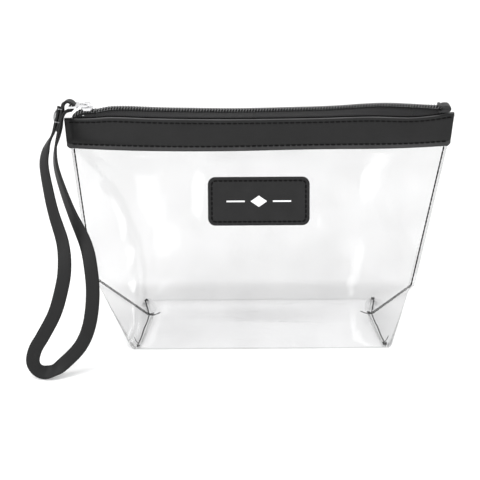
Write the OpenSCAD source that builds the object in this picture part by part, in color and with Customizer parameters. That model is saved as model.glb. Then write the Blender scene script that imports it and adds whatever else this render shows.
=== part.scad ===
// Clear cosmetic pouch with a boxed base, a trim band round the mouth, a coil zip and a wrist strap.
// Origin: centre of the base on the surface it stands on. +X to the right, -Y to the front, +Z up.

/* [Pouch] */
// Width across the mouth
mouth_w = 235; // [225:1:245]
// Height of the walls, from the base to the lips
wall_h = 138; // [134:1:142]
// Gap between the front and back lips
mouth_gap = 18; // [17:0.5:20]
// Depth of the boxed base
base_d = 80; // [74:1:86]
// Width of the base along its front and back edges
base_w = 158; // [150:1:164]
// Thickness of the clear sheet
film_t = 0.5; // [0.4:0.05:0.6]

/* [Trim] */
// Height of the band round the mouth
band_h = 20.8; // [19:0.1:22]
// Thickness of the band
band_t = 1; // [0.8:0.1:1.2]
// Width of the label patch
label_w = 61.5; // [50:0.5:70]
// Height of the label patch
label_h = 29.5; // [24:0.5:34]
// Corner radius of the label patch
label_r = 4.5; // [3:0.5:6]
// Height of the label patch's centre above the base
label_z = 88.5; // [80:0.5:95]
// Thickness of the thread
thread_d = 0.7; // [0.6:0.05:0.8]

/* [Zip] */
// Width of the coil chain, both halves together
chain_w = 5; // [4.6:0.1:5.2]
// Thickness of the coil chain
chain_t = 2; // [1.8:0.1:2.2]
// Centre of the slider at the closed end
slider_x = -104.2; // [-104.4:0.1:-104]
// Length of the slider
slider_l = 6.8; // [6.4:0.1:7.2]
// Width of the slider
slider_w = 6; // [6:0.1:6.2]

/* [Strap] */
// Width of the wrist strap
strap_w = 8; // [7:0.25:8.25]
// Thickness of the wrist strap
strap_t = 1.5; // [1.2:0.1:1.6]

/* [Hidden] */
gap = 0.05;                    // between layers that lie on each other
film_top = wall_h - 1.5;       // the sheet ends just under the lips
band_z = wall_h - band_h;      // lower edge of the band
neck_d = 18;                   // the pouch's depth there
kinks = [[-108, 33], [95, 25]]; // x and z where each boxed corner's fold meets its side seam
tee_x = 70.5;                  // where the side seam meets the corner seam
tee_z = 6;
fin = 3;                       // seam allowance that stands out past the side stitching
fin_t = 0.6;                   // half the thickness of that allowance
band_over = 0.4;               // the band's ends stand this far past the sheet
facing_t = 0.6;
facing_h = 14;
facing_share = 0.95;           // of the way to the crease that each facing may reach
film_levels = [0, 4, 9, 14, 19, 25, 33, 45, 60, 80, 100, band_z, film_top];
side_steps = 3;
wall_steps = 11;
base_shares = [0.3, 0.82, 0.91];
tape_t = 0.5;
tape_edge_y = 0.6;             // inner edge of each tape
tape_root_z = wall_h + 0.4;
tape_tip_z = wall_h + 1.6;
coil_z = tape_tip_z + tape_t + chain_t / 2;
coil_in_y = 0.7;
flap_left = -98.9;             // the part of the zip that opens lies between these
flap_right = 91.4;
zip_end_left = -110.5;
zip_end_right = 108.2;
fork_x = -108.3;               // left of this the two halves of the zip part and turn down
end_gap = 0.3;
tab_left = 106.6;
tab_right = 114.4;
tab_w = 8.4;
tab_t = 0.9;
plate_t = 0.9;
plate_top_z = coil_z + chain_t / 2 + 0.3;
plate_low_z = wall_h - 0.1;
crown_l = 4.2;
crown_w = 2.2;
crown_t = 0.7;
crown_clear = 2.2;             // height of the crown's opening
pivot_x = slider_x - 0.3;
pivot_z = plate_top_z + plate_t + 1.1;
pin_r = 0.6;
pull_t = 1.2;
eye_x = pivot_x - 10;          // the pull's end bar, which the strap goes round
eye_r = 0.75;
eye_w = 10.8;
lean = atan((base_d - neck_d) / 2 / band_z);

// The strap's route: [x, y, z] on its centre line, then the way that its width lies
strap_route = [
    [[-120.4, -3.6, 144.6], [0, -0.9, 0.43]],
    [[-121.2, -5.5, 139.9], [0, -0.9, 0.43]],
    [[-122.4, -8, 135.2], [0, -0.9, 0.43]],
    [[-124.2, -11, 129.8], [0.15, -0.9, 0.43]],
    [[-126.9, -14, 125], [0.4, -0.8, 0.4]],
    [[-128.4, -17.5, 120.5], [0.6, -0.7, 0.3]],
    [[-128.6, -24, 114], [0.66, -0.68, 0.3]],
    [[-125.7, -33, 102.5], [0.72, -0.63, 0.25]],
    [[-121.8, -43, 91], [0.78, -0.58, 0.2]],
    [[-115.8, -54, 76], [0.92, -0.35, 0.1]],
    [[-114.7, -61, 62.5], [1, 0, 0]],
    [[-116.7, -66, 51], [1, 0, 0]],
    [[-120.7, -70, 38.5], [1, 0, 0]],
    [[-127.4, -73.5, 26.5], [1, 0, 0]],
    [[-132, -75, 19], [1, 0, 0]],
    [[-134.1, -75.5, 11.5], [1, 0, 0.1]],
    [[-132.4, -76, 6.4], [0.85, 0.05, 0.5]],
    [[-128, -76.5, 4.2], [0.4, 0.35, 0.85]],
    [[-122.1, -76, 5.2], [-0.2, 0.8, 0.5]],
    [[-116.5, -75, 8.8], [-0.5, 0.4, 0.75]],
    [[-106.3, -72.5, 19], [-0.85, 0.2, 0.5]],
    [[-100.9, -69, 31], [-1, 0, 0.2]],
    [[-98.7, -64, 47], [-1, 0, 0]],
    [[-99.7, -58, 61.5], [-1, 0, 0]],
    [[-102.9, -51, 74.5], [-0.95, 0.3, -0.1]],
    [[-111.1, -41, 89.5], [-0.66, 0.68, -0.3]],
    [[-117.4, -31, 102], [-0.5, 0.8, -0.35]],
    [[-121.8, -22, 113], [-0.35, 0.85, -0.4]],
    [[-122.6, -15.5, 121.7], [-0.2, 0.88, -0.43]],
    [[-121, -11, 128.4], [0, 0.9, -0.43]],
    [[-119.6, -8.6, 133.6], [0, 0.9, -0.43]],
    [[-119, -6.4, 137.7], [0, 0.93, -0.35]],
    [[-117.4, -3.1, 140.4], [0, 0.98, -0.2]],
    [[-114.8, -0.5, 141.5], [0, 1, 0]],
    [[-112.6, 0, 143], [0, 1, 0]],
    [[-112.3, 0, 145.2], [0, 1, 0]],
    [[-114.2, -0.2, 146.6], [0, 1, 0]],
    [[-116.4, -0.9, 146.6], [0, 1, -0.1]],
    [[-118.1, -2.2, 145.2], [0, 0.95, -0.3]],
    [[-118.7, -4, 142.6], [0, 0.9, -0.43]],
    [[-119.3, -5.6, 139.4], [0, 0.9, -0.43]],
    [[-120.4, -8, 134.9], [0, 0.9, -0.43]],
    [[-121.5, -10, 130.8], [0, 0.9, -0.43]]
];
strap_fill = 3;                // rings between one route point and the next
clip_at = [-119.9, -6.1, 138.6];
clip_turn = [-25.5, 13, 0];

function mix(a, b, t) = a + (b - a) * t;
function clamp01(t) = min(1, max(0, t));
function unit(v) = v / norm(v);

// ---- The sheet's surface -------------------------------------------------------------------

// s is -1 on the left and 1 on the right. The two boxed corners stand a little differently.
function kink(s) = kinks[s < 0 ? 0 : 1];

// Height as a share of the boxed corner's fold, and of the wall above it
function fold_share(z, s) = clamp01(z / kink(s)[1]);
function wall_share(z, s) = clamp01((z - kink(s)[1]) / (wall_h - kink(s)[1]));
function folded(z, s) = z < kink(s)[1];

// Half depth of the pouch at its middle, at a height. The walls lean in to the band, which stands up.
function half_depth(z) =
    z < band_z ? mix(base_d / 2, neck_d / 2, z / band_z)
    : mix(neck_d / 2, mouth_gap / 2 + 1, (z - band_z) / band_h);

// Half width at the side seam's edge, and its height, which the boxed corner lifts near the base
function seam_x(z, s) =
    folded(z, s) ? mix(tee_x, abs(kink(s)[0]), fold_share(z, s))
    : mix(abs(kink(s)[0]), mouth_w / 2, wall_share(z, s));
function seam_z(z, s) = folded(z, s) ? mix(tee_z, kink(s)[1], fold_share(z, s)) : z;

// The crease of the boxed corner, which runs into the seam allowance above the fold
function crease_x(z, s) =
    folded(z, s) ? mix(base_w / 2, abs(kink(s)[0]) - fin, fold_share(z, s)) : seam_x(z, s) - fin;
function crease_y(z, s) = mix(base_d / 2, fin_t, fold_share(z, s));

// How squarely the wall turns at its ends: boxy at the base, and like a lens at the band
function turn(z) = mix(6, 3, clamp01(z / band_z));

// Depth of the front wall's outer face at a place across it, above the folds
function wall_y(x, z) =
    let (edge = crease_x(z, x))
    abs(x) >= edge ? fin_t : fin_t + (half_depth(z) - fin_t) * (1 - pow(abs(x) / edge, turn(z)));

// One quarter of a level, from a side seam to the middle, as distances from the centre
function quarter(z, s, seam, crease, deep, lift) = concat(
    [for (i = [0 : side_steps - 1])
        let (t = i / side_steps)
        [mix(seam, crease[0], t), mix(0, crease[1], t), mix(seam_z(z, s), z, t) + lift]],
    [for (i = [0 : wall_steps])
        let (share = 1 - pow(i / wall_steps, 1.8))
        [crease[0] * share, crease[1] + (deep - crease[1]) * (1 - pow(share, turn(z))), z + lift]]
);

function quarter_outer(z, s) =
    quarter(z, s, seam_x(z, s), [crease_x(z, s), crease_y(z, s)], half_depth(z), 0);

// The crease on the sheet's inner face
function crease_in(z, s) = [
    crease_x(z, s) - 0.9,
    max(0.1, crease_y(z, s) - mix(0.7, 0.5, fold_share(z, s)))
];

function quarter_inner(z, s) =
    let (
        low = 1 - fold_share(z, s),
        seam = folded(z, s) ? mix(tee_x - 0.8, abs(kink(s)[0]) - fin - 0.3, 1 - low) : crease_x(z, s) - 0.3
    )
    quarter(z, s, seam, crease_in(z, s), half_depth(z) - film_t, film_t * low);

// A whole level from its right and left quarters
function ring_of(right, left) =
    let (n = len(right) - 1)
    concat(
        [for (i = [0 : n - 1]) [right[i][0], -right[i][1], right[i][2]]],
        [for (i = [n : -1 : 1]) [-left[i][0], -left[i][1], left[i][2]]],
        [for (i = [0 : n - 1]) [-left[i][0], left[i][1], left[i][2]]],
        [for (i = [n : -1 : 1]) right[i]]
    );

// A level of the base, drawn in towards the middle, where it lies flat on what it stands on
function base_ring(ring, share, floor_z) = [
    for (p = ring)
        [p[0] * share, p[1] * share, floor_z + (p[2] - floor_z) * pow(clamp01((share - 0.82) / 0.18), 2)]
];

// ---- Builders ------------------------------------------------------------------------------

// A closed skin over rings of points, with a flat fan over each end
module skin(rings) {
    n = len(rings[0]);
    m = len(rings);
    points = concat([for (ring = rings) each ring], [mean(rings[0]), mean(rings[m - 1])]);
    sides = [
        for (j = [0 : m - 2], i = [0 : n - 1])
            let (a = j * n + i, b = j * n + (i + 1) % n)
            each [[a, b, b + n], [a, b + n, a + n]]
    ];
    first = [for (i = [0 : n - 1]) [n * m, (i + 1) % n, i]];
    last = [for (i = [0 : n - 1]) [n * m + 1, (m - 1) * n + i, (m - 1) * n + (i + 1) % n]];
    polyhedron(points, concat(sides, first, last));
}

function mean(points) = [for (k = [0 : 2]) sum([for (p = points) p[k]]) / len(points)];
function sum(list) = list * [for (v = list) 1];

function tangent(path, i) = unit(path[min(i + 1, len(path) - 1)] - path[max(i - 1, 0)]);

// A round thread along a path
module thread(path, d = thread_d) {
    sides = 6;
    skin([
        for (i = [0 : len(path) - 1])
            let (
                t = tangent(path, i),
                across = unit(cross(t, abs(t[2]) > 0.9 ? [0, 1, 0] : [0, 0, 1])),
                up = cross(across, t)
            )
            [for (k = [0 : sides - 1])
                path[i] + d / 2 * (cos(k * 360 / sides) * across + sin(k * 360 / sides) * up)]
    ]);
}

module mirror_y() {
    mirror([0, 1, 0]) children();
}

// A flat strip whose section at each place across the pouch is four corners
module strip(places, corners) {
    skin([for (u = places) [for (c = corners) corner_at(u, c)]]);
}

// Places across the wall: the sheet's own, as shares of the way to the crease, so that layers lie flush
wall_places = let (half = [for (i = [0 : wall_steps]) 1 - pow(i / wall_steps, 1.8)])
    concat([for (v = half) -v], [for (i = [wall_steps - 1 : -1 : 0]) half[i]]);

// A corner is [width past the seam, offset from the wall, height that the wall is taken at, height
// of the corner]. A place past 1 lies between the crease and the seam, and 2 is the strip's end.
function corner_at(v, c) =
    let (
        past = max(0, abs(v) - 1),
        reach = mix(crease_x(c[2], v) * min(1, abs(v)), seam_x(c[2], v) + c[0], past),
        x = sign(v) * reach
    )
    [x, -(wall_y(x, c[2]) + c[1]), c[3]];

// A point off the sheet's inner face, on the front
function inner_at(v, off, z) =
    let (
        crease = crease_in(z, v),
        deep = half_depth(z) - film_t,
        y = crease[1] + (deep - crease[1]) * (1 - pow(abs(v), turn(z)))
    )
    [v * crease[0], off - y, z];

function steps(a, b, n) = [for (i = [0 : n]) mix(a, b, i / n)];

module rounded_plate(w, h, r, t) {
    linear_extrude(t) {
        square([w - 2 * r, h], center = true);
        square([w, h - 2 * r], center = true);
        for (sx = [-1, 1], sy = [-1, 1])
            translate([sx * (w / 2 - r), sy * (h / 2 - r)])
                circle(r, $fn = 32);
    }
}

// Puts flat work on the front wall, at the label's place, its face outwards
module on_front(out = 0) {
    translate([-1.3, -half_depth(label_z), label_z])
        rotate([90 - lean, 0, 0])
            translate([0, 0, out])
                children();
}

// ---- Sheet and trim ------------------------------------------------------------------------

module film_body() {
    outer = [for (z = film_levels) ring_of(quarter_outer(z, 1), quarter_outer(z, -1))];
    inner = [for (z = film_levels) ring_of(quarter_inner(z, 1), quarter_inner(z, -1))];
    last = len(film_levels) - 1;
    color([0.93, 0.94, 0.95, 0.35])
        skin(concat(
            [for (s = base_shares) base_ring(outer[0], s, 0)],
            outer,
            [for (j = [last : -1 : 0]) inner[j]],
            [for (j = [len(base_shares) - 1 : -1 : 0]) base_ring(inner[0], base_shares[j], film_t)]
        ));
}

// The band follows the outside of the sheet; its ends meet the other band's past the seam
module band() {
    low = band_z;
    color([0.13, 0.13, 0.13])
        strip(concat([-2], wall_places, [2]), [
            [band_over, gap, low, low],
            [band_over, gap + band_t, low, low],
            [band_over, gap + band_t, wall_h, wall_h],
            [band_over, gap, wall_h, wall_h]
        ]);
}

module front_band() band();
module back_band() mirror_y() band();

// The turned-in edge of the band, inside the sheet
module facing() {
    low = wall_h - facing_h;
    color([0.16, 0.16, 0.16])
        skin([
            for (v = wall_places)
                if (abs(v) < facing_share)
                    [
                        inner_at(v, gap + facing_t, low),
                        inner_at(v, gap, low),
                        inner_at(v, gap, wall_h - 0.2),
                        inner_at(v, gap + facing_t, wall_h - 0.2)
                    ]
        ]);
}

module front_facing() facing();
module back_facing() mirror_y() facing();

module label_patch() {
    color([0.12, 0.12, 0.12])
        on_front(gap)
            rounded_plate(label_w, label_h, label_r, 1.2);
}

// A plain foil lozenge between two bars
module label_ornament() {
    color([0.75, 0.75, 0.76])
        on_front(gap + 1.2) {
            linear_extrude(0.12)
                polygon([[-5, 0], [0, 3.4], [5, 0], [0, -3.4]]);
            for (side = [-1, 1])
                translate([side * 14, 0, 0])
                    linear_extrude(0.12)
                        square([11, 0.9], center = true);
        }
}

module label_thread() {
    inset = 2.3;
    w = label_w - 2 * inset;
    h = label_h - 2 * inset;
    r = label_r - inset;
    color([0.08, 0.08, 0.08])
        on_front(gap + 1.2)
            difference() {
                rounded_plate(w, h, r, 0.3);
                translate([0, 0, -1])
                    rounded_plate(w - thread_d * 2, h - thread_d * 2, r - thread_d, 3);
            }
}

// Stitching along the band, at a height below the lips
module band_thread(below) {
    z = wall_h - below;
    color([0.05, 0.05, 0.05])
        thread([for (v = wall_places) corner_at(v, [0, gap + band_t + 0.1, z, z])]);
}

module front_top_thread() band_thread(2.6);
module front_hem_thread() band_thread(band_h - 3.2);
module back_top_thread() mirror_y() band_thread(2.6);
module back_hem_thread() mirror_y() band_thread(band_h - 3.2);

// Stitching down a side seam, from under the band to where it meets the corner seam
module side_thread(side) {
    inset = fin - 1.2;
    color([0.12, 0.12, 0.12])
        thread([
            for (z = [band_z, 100, 80, 60, 45, kink(side)[1], 16, 8, 2])
                let (t = fold_share(z, side))
                [side * (seam_x(z, side) - inset * t + 0.4 * (1 - t)), 0, seam_z(z, side)]
        ]);
}

module side_thread_left() side_thread(-1);
module side_thread_right() side_thread(1);

// Stitching along a boxed corner, front to back, over the raised middle
module corner_thread(side) {
    color([0.12, 0.12, 0.12])
        thread([
            for (t = [-0.88, -0.6, -0.3, 0, 0.3, 0.6, 0.88])
                [side * (mix(tee_x, base_w / 2, abs(t)) + 0.3), t * base_d / 2, mix(tee_z, 0, abs(t)) + 0.1]
        ]);
}

module corner_thread_left() corner_thread(-1);
module corner_thread_right() corner_thread(1);

// ---- Zip -----------------------------------------------------------------------------------

// A tape from the lip up to the chain, with its inner edge as given by tip_y(x)
module tape(left, right, n) {
    color([0.1, 0.1, 0.1])
        skin([
            for (x = steps(left, right, n))
                let (
                    root = -(wall_y(x, wall_h) - 0.6),
                    parted = max(0, fork_x - x),
                    tip = max(-tape_edge_y - parted * 1.15, root + 0.8),
                    tip_z = tape_tip_z - parted * 0.25
                )
                [
                    [x, root, tape_root_z],
                    [x, tip, tip_z],
                    [x, tip, tip_z + tape_t],
                    [x, root, tape_root_z + tape_t]
                ]
        ]);
}

module zip_tape_front() tape(flap_left, flap_right, 40);
module zip_tape_back() mirror_y() tape(flap_left, flap_right, 40);

// One half of the chain: a flat-bottomed rounded bar on the tape's inner edge
module coil_bar(left, right) {
    w = chain_w / 2 - coil_in_y;
    color([0.06, 0.06, 0.06])
        translate([left, -coil_in_y - w, coil_z])
            rotate([90, 0, 90])
                linear_extrude(right - left)
                    polygon([
                        [0, -chain_t / 2], [w, -chain_t / 2], [w, chain_t / 4],
                        [w * 0.75, chain_t / 2], [w * 0.25, chain_t / 2], [0, chain_t / 4]
                    ]);
}

module zip_coil_front() coil_bar(flap_left, flap_right);
module zip_coil_back() mirror_y() coil_bar(flap_left, flap_right);

module both_sides() {
    children();
    mirror_y() children();
}

module zip_left_tape() both_sides() tape(zip_end_left, flap_left - end_gap, 8);
module zip_right_tape() both_sides() tape(flap_right + end_gap, tab_left - 0.2, 8);

// The chain at the closed end, whose two halves part and run down into the lips
module zip_left_coil() {
    mid_y = (coil_in_y + chain_w / 2) / 2;
    color([0.06, 0.06, 0.06])
        both_sides()
            thread([
                [flap_left - end_gap, -mid_y, coil_z],
                [fork_x, -mid_y, coil_z],
                [fork_x - 1.1, -mid_y + 0.1, coil_z - 0.1],
                [fork_x - 2.2, -mid_y + 0.35, coil_z - 0.4]
            ], chain_w / 2 - coil_in_y);
}

module zip_right_coil() both_sides() coil_bar(flap_right + end_gap, zip_end_right);

// A folded tab over the chain's end, open towards the chain
module zip_end_tab() {
    h = chain_t + 2 * tab_t + 0.6;
    color([0.18, 0.18, 0.18])
        translate([0, 0, coil_z])
            rotate([90, 0, 0])
                linear_extrude(tab_w, center = true)
                    difference() {
                        union() {
                            translate([tab_left, -h / 2])
                                square([tab_right - tab_left - h / 2, h]);
                            translate([tab_right - h / 2, 0])
                                circle(h / 2, $fn = 32);
                        }
                        translate([tab_left - 1, -h / 2 + tab_t])
                            square([zip_end_right - tab_left + 1.3, h - 2 * tab_t]);
                    }
}

// ---- Slider and pull -----------------------------------------------------------------------

// Two plates round the chain, joined by the wedge that parts it, with flanges down the sides
module slider_body() {
    low_t = tape_root_z + 0.2 - plate_low_z;
    low_w = 3.2;
    left = slider_x - slider_l / 2;
    wedge_w = 0.56;
    corner = 1.2;
    flange = 0.45;
    flange_z = coil_z + 0.5;
    color([0.78, 0.78, 0.8]) {
        translate([slider_x, 0, plate_top_z])
            rounded_plate(slider_l, slider_w, corner, plate_t);
        translate([left + 0.5, -low_w / 2, plate_low_z])
            cube([slider_l - 1, low_w, low_t]);
        translate([left + 0.5, -wedge_w / 2, plate_low_z])
            cube([2, wedge_w, plate_top_z + plate_t - plate_low_z]);
        for (side = [0, 1])
            mirror([0, side, 0])
                translate([left + corner, slider_w / 2 - flange, flange_z])
                    cube([slider_l - 2 * corner, flange, plate_top_z - flange_z + plate_t / 2]);
    }
}

// The bridge over the top plate that keeps the pull's bar
module slider_crown() {
    base_z = plate_top_z + plate_t;
    color([0.82, 0.82, 0.84])
        translate([slider_x, crown_w / 2, base_z])
            rotate([90, 0, 0])
                linear_extrude(crown_w)
                    difference() {
                        union() {
                            translate([-crown_l / 2, 0])
                                square([crown_l, crown_clear - 0.4]);
                            translate([-crown_l / 2 + 1.1, 0])
                                square([crown_l - 2.2, crown_clear + crown_t]);
                            for (side = [-1, 1])
                                translate([side * (crown_l / 2 - 1.1), crown_clear + crown_t - 1.1])
                                    circle(1.1, $fn = 32);
                        }
                        translate([-crown_l / 2 + crown_t, -1])
                            square([crown_l - 2 * crown_t, crown_clear + 1]);
                    }
}

// A leaf in the crown that presses into the coil when the pull lies down
module slider_lock_spring() {
    color([0.6, 0.6, 0.62])
        translate([slider_x + 0.3, -0.6, plate_top_z + plate_t + 0.05])
            cube([crown_l / 2 - crown_t - 0.5, 1.2, 0.3]);
}

// A flat pull: bar in the crown, two limbs, and a slotted eye with a round end bar for the strap
module zip_pull() {
    window_l = 4;
    limb_in = crown_w / 2 + 0.3;
    limb_out = 2.7;
    slot_right = pivot_x - 6.5;
    color([0.8, 0.8, 0.82]) {
        translate([pivot_x, limb_out, pivot_z])
            rotate([90, 0, 0])
                cylinder(r = pin_r, h = 2 * limb_out, $fn = 24);
        for (side = [0, 1])
            mirror([0, side, 0]) {
                translate([pivot_x - window_l - 0.5, limb_in, pivot_z - pull_t / 2])
                    cube([window_l + 0.5, limb_out - limb_in, pull_t]);
                translate([eye_x, strap_w / 2 + 0.4, pivot_z - pull_t / 2])
                    cube([slot_right - eye_x + 0.5, eye_w / 2 - strap_w / 2 - 0.4, pull_t]);
            }
        translate([pivot_x - window_l - 1.4, -limb_out, pivot_z - pull_t / 2])
            cube([1.4, 2 * limb_out, pull_t]);
        translate([slot_right, 0, pivot_z - pull_t / 2])
            linear_extrude(pull_t)
                polygon([
                    [0, -eye_w / 2], [1, -eye_w / 2], [1.8, -limb_out],
                    [1.8, limb_out], [1, eye_w / 2], [0, eye_w / 2]
                ]);
        translate([eye_x, eye_w / 2, pivot_z])
            rotate([90, 0, 0])
                cylinder(r = eye_r, h = eye_w, $fn = 24);
    }
}

// ---- Strap ---------------------------------------------------------------------------------

// A smooth curve through the route, and the strap's width direction along it
function smooth(a, b, c, d, t) =
    0.5 * (2 * b + (c - a) * t + (2 * a - 5 * b + 4 * c - d) * t * t + (3 * b - a - 3 * c + d) * t * t * t);

function route_at(list, k, i, t) =
    let (n = len(list) - 1)
    smooth(list[max(i - 1, 0)][k], list[i][k], list[min(i + 1, n)][k], list[min(i + 2, n)][k], t);

function filled(k) = concat(
    [for (i = [0 : len(strap_route) - 2], s = [0 : strap_fill - 1]) route_at(strap_route, k, i, s / strap_fill)],
    [strap_route[len(strap_route) - 1][k]]
);

module wrist_strap() {
    centre = filled(0);
    wide = filled(1);
    color([0.17, 0.17, 0.17])
        skin([
            for (i = [0 : len(centre) - 1])
                let (
                    t = tangent(centre, i),
                    w = unit(wide[i] - (wide[i] * t) * t) * strap_w / 2,
                    n = unit(cross(t, w)) * strap_t / 2
                )
                [centre[i] - w - n, centre[i] + w - n, centre[i] + w + n, centre[i] - w + n]
        ]);
}

// A bent steel clip that grips the strap's layers from the left
module strap_clip() {
    sheet_t = 0.4;
    w = strap_w + 0.3;
    h = 8;
    reach = 3.8;
    color([0.75, 0.75, 0.77])
        translate(clip_at)
            rotate(clip_turn)
                translate([-3.35, -w / 2 - sheet_t, -h / 2])
                    difference() {
                        cube([reach, w + 2 * sheet_t, h]);
                        translate([sheet_t, sheet_t, -1])
                            cube([reach, w, h + 2]);
                    }
}

film_body();
front_band();
back_band();
front_facing();
back_facing();
label_patch();
label_ornament();
label_thread();
front_top_thread();
front_hem_thread();
back_top_thread();
back_hem_thread();
side_thread_left();
side_thread_right();
corner_thread_left();
corner_thread_right();
zip_tape_front();
zip_tape_back();
zip_coil_front();
zip_coil_back();
zip_left_tape();
zip_left_coil();
zip_right_tape();
zip_right_coil();
zip_end_tab();
slider_body();
slider_crown();
slider_lock_spring();
zip_pull();
wrist_strap();
strap_clip();
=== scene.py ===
"""Clear makeup bag with a trim band, a coil zip and a wrist strap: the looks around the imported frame.
Lengths in the shape code are in millimetres, and mesh() turns them into metres."""

import math

import bpy
from mathutils import Matrix, Vector, noise


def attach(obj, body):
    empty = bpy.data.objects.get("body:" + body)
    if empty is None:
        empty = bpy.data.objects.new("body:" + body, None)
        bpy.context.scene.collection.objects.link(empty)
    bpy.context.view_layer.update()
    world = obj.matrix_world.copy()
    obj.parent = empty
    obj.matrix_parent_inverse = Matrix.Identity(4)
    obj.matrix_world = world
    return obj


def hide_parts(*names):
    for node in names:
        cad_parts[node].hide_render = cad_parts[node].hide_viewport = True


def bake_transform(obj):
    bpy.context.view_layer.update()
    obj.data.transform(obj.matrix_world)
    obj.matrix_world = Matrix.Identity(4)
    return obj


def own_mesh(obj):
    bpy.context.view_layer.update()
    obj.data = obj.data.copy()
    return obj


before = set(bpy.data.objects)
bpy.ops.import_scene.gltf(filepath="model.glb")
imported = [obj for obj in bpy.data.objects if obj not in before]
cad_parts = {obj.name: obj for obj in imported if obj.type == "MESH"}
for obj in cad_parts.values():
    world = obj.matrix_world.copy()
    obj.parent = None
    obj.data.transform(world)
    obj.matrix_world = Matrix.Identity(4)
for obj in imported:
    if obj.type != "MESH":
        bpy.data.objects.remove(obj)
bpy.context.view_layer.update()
MM = 0.001

# ---- Camera --------------------------------------------------------------------------------------


def make_camera():
    data = bpy.data.cameras.new("camera")
    data.sensor_width, data.lens = 36, 97.56
    camera = bpy.data.objects.new("camera", data)
    bpy.context.scene.collection.objects.link(camera)
    place, aim = Vector((-0.0130, -0.7599, 0.3466)), Vector((-0.0128, -0.0040, 0.0586))
    turn = (aim - place).to_track_quat("-Z", "Y").to_matrix().to_4x4()
    camera.matrix_world = Matrix.Translation(place) @ turn @ Matrix.Rotation(math.radians(-0.35), 4, "Z")
    bpy.context.scene.camera = camera


make_camera()

# ---- Numbers the CAD uses too, in mm ---------------------------------------------------------------

WALL_H, MOUTH_W, BASE_W, BASE_D, FILM_T = 138.0, 235.0, 158.0, 80.0, 0.5
LIP_Y, NECK_Y, FIN, FIN_T = 10.0, 9.0, 3.0, 0.6
KINK = {-1: (108.0, 33.0), 1: (97.6, 25.5)}
TEE_X, TEE_Z = 70.5, 6.0
CORNER_IN, SEAM_IN = 2.6, 2.2  # how far the stitches stand inside the film's edge
BAND_LOW, FILM_TOP = 117.2, 136.5
LABEL_X, LABEL_Z, LABEL_W, LABEL_H, LABEL_R = -1.3, 88.5, 61.5, 29.5, 4.5
LEAN = math.atan((BASE_D / 2 - NECK_Y) / BAND_LOW)
FLAP = (-98.9, 91.4)
COIL_Z = 141.1
PITCH = 1.7


def mix(a, b, t):
    return a + (b - a) * t


def clamp(t, low=0.0, high=1.0):
    return min(high, max(low, t))


def ease(a, b, t):
    """0 at a, 1 at b, smooth between them."""
    t = clamp((t - a) / (b - a))
    return t * t * (3 - 2 * t)


def side_of(x):
    return -1 if x < 0 else 1


def fold(z, s):
    return clamp(z / KINK[s][1])


def half_depth(z):
    """The walls lean in to the band, which stands up."""
    if z < BAND_LOW:
        return mix(BASE_D / 2, NECK_Y, z / BAND_LOW)
    return mix(NECK_Y, LIP_Y, (z - BAND_LOW) / (WALL_H - BAND_LOW))


def seam_x(z, s):
    kx, kz = KINK[s]
    return mix(TEE_X, kx, fold(z, s)) if z < kz else mix(kx, MOUTH_W / 2, clamp((z - kz) / (WALL_H - kz)))


def seam_z(z, s):
    return mix(TEE_Z, KINK[s][1], fold(z, s)) if z < KINK[s][1] else z


def crease(z, s):
    """Where the wall turns into the side, as distances from the centre."""
    kx, kz = KINK[s]
    x = mix(BASE_W / 2, kx - FIN, fold(z, s)) if z < kz else seam_x(z, s) - FIN
    return x, mix(BASE_D / 2, FIN_T, fold(z, s))


def turn(z):
    """Boxy at the base, and like a lens at the band."""
    return mix(6, 3, clamp(z / BAND_LOW))


def hump(x, at, spread):
    return math.exp(-(((x - at) / spread) ** 2))


def chain_lift(x):
    """The soft zip isn't quite level: it rises past the slider and near the tab, and sags between."""
    return ease(-101, -90, x) * (0.6 + hump(x, -84, 17) + 2.0 * hump(x, 74, 26) - 0.8 * hump(x, -15, 32))


def mouth_lift(x, z):
    """The band's lips droop at the closed end and before the tab, and its hem lifts, mostly at the right."""
    lip = 0.35 * chain_lift(x) - 1.5 * ease(-88, -117, x) - 1.6 * hump(x, 90, 19) + 0.6 * ease(104, 117, x)
    hem = 0.6 + 0.9 * hump(x, 35, 40)
    return mix(hem, lip, clamp((z - BAND_LOW) / (WALL_H - BAND_LOW)))


def end_shift(x, z):
    """The band's ends hang straighter than the film under it: how far they stand out, in mm."""
    low = clamp((WALL_H - z) / (WALL_H - BAND_LOW))
    if x < 0:
        return -mix(0.5, 1.3, low) * ease(100, 117, -x)
    return mix(-1.1, 0.8, low) * ease(100, 117, x)


def wall_y(x, z):
    """Depth of the sheet's outer face above the folds."""
    edge = crease(z, side_of(x))[0]
    if abs(x) >= edge:
        return FIN_T
    return FIN_T + (half_depth(z) - FIN_T) * (1 - (abs(x) / edge) ** turn(z))


# ---- Mesh helpers --------------------------------------------------------------------------------


def mesh(name, points, faces, finish, smooth=True):
    data = bpy.data.meshes.new(name)
    data.from_pydata([Vector(p) * MM for p in points], [], faces)
    data.validate()
    data.update()
    data.polygons.foreach_set("use_smooth", [smooth] * len(data.polygons))
    piece = bpy.data.objects.new(name, data)
    bpy.context.scene.collection.objects.link(piece)
    data.materials.append(finish)
    return piece


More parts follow.
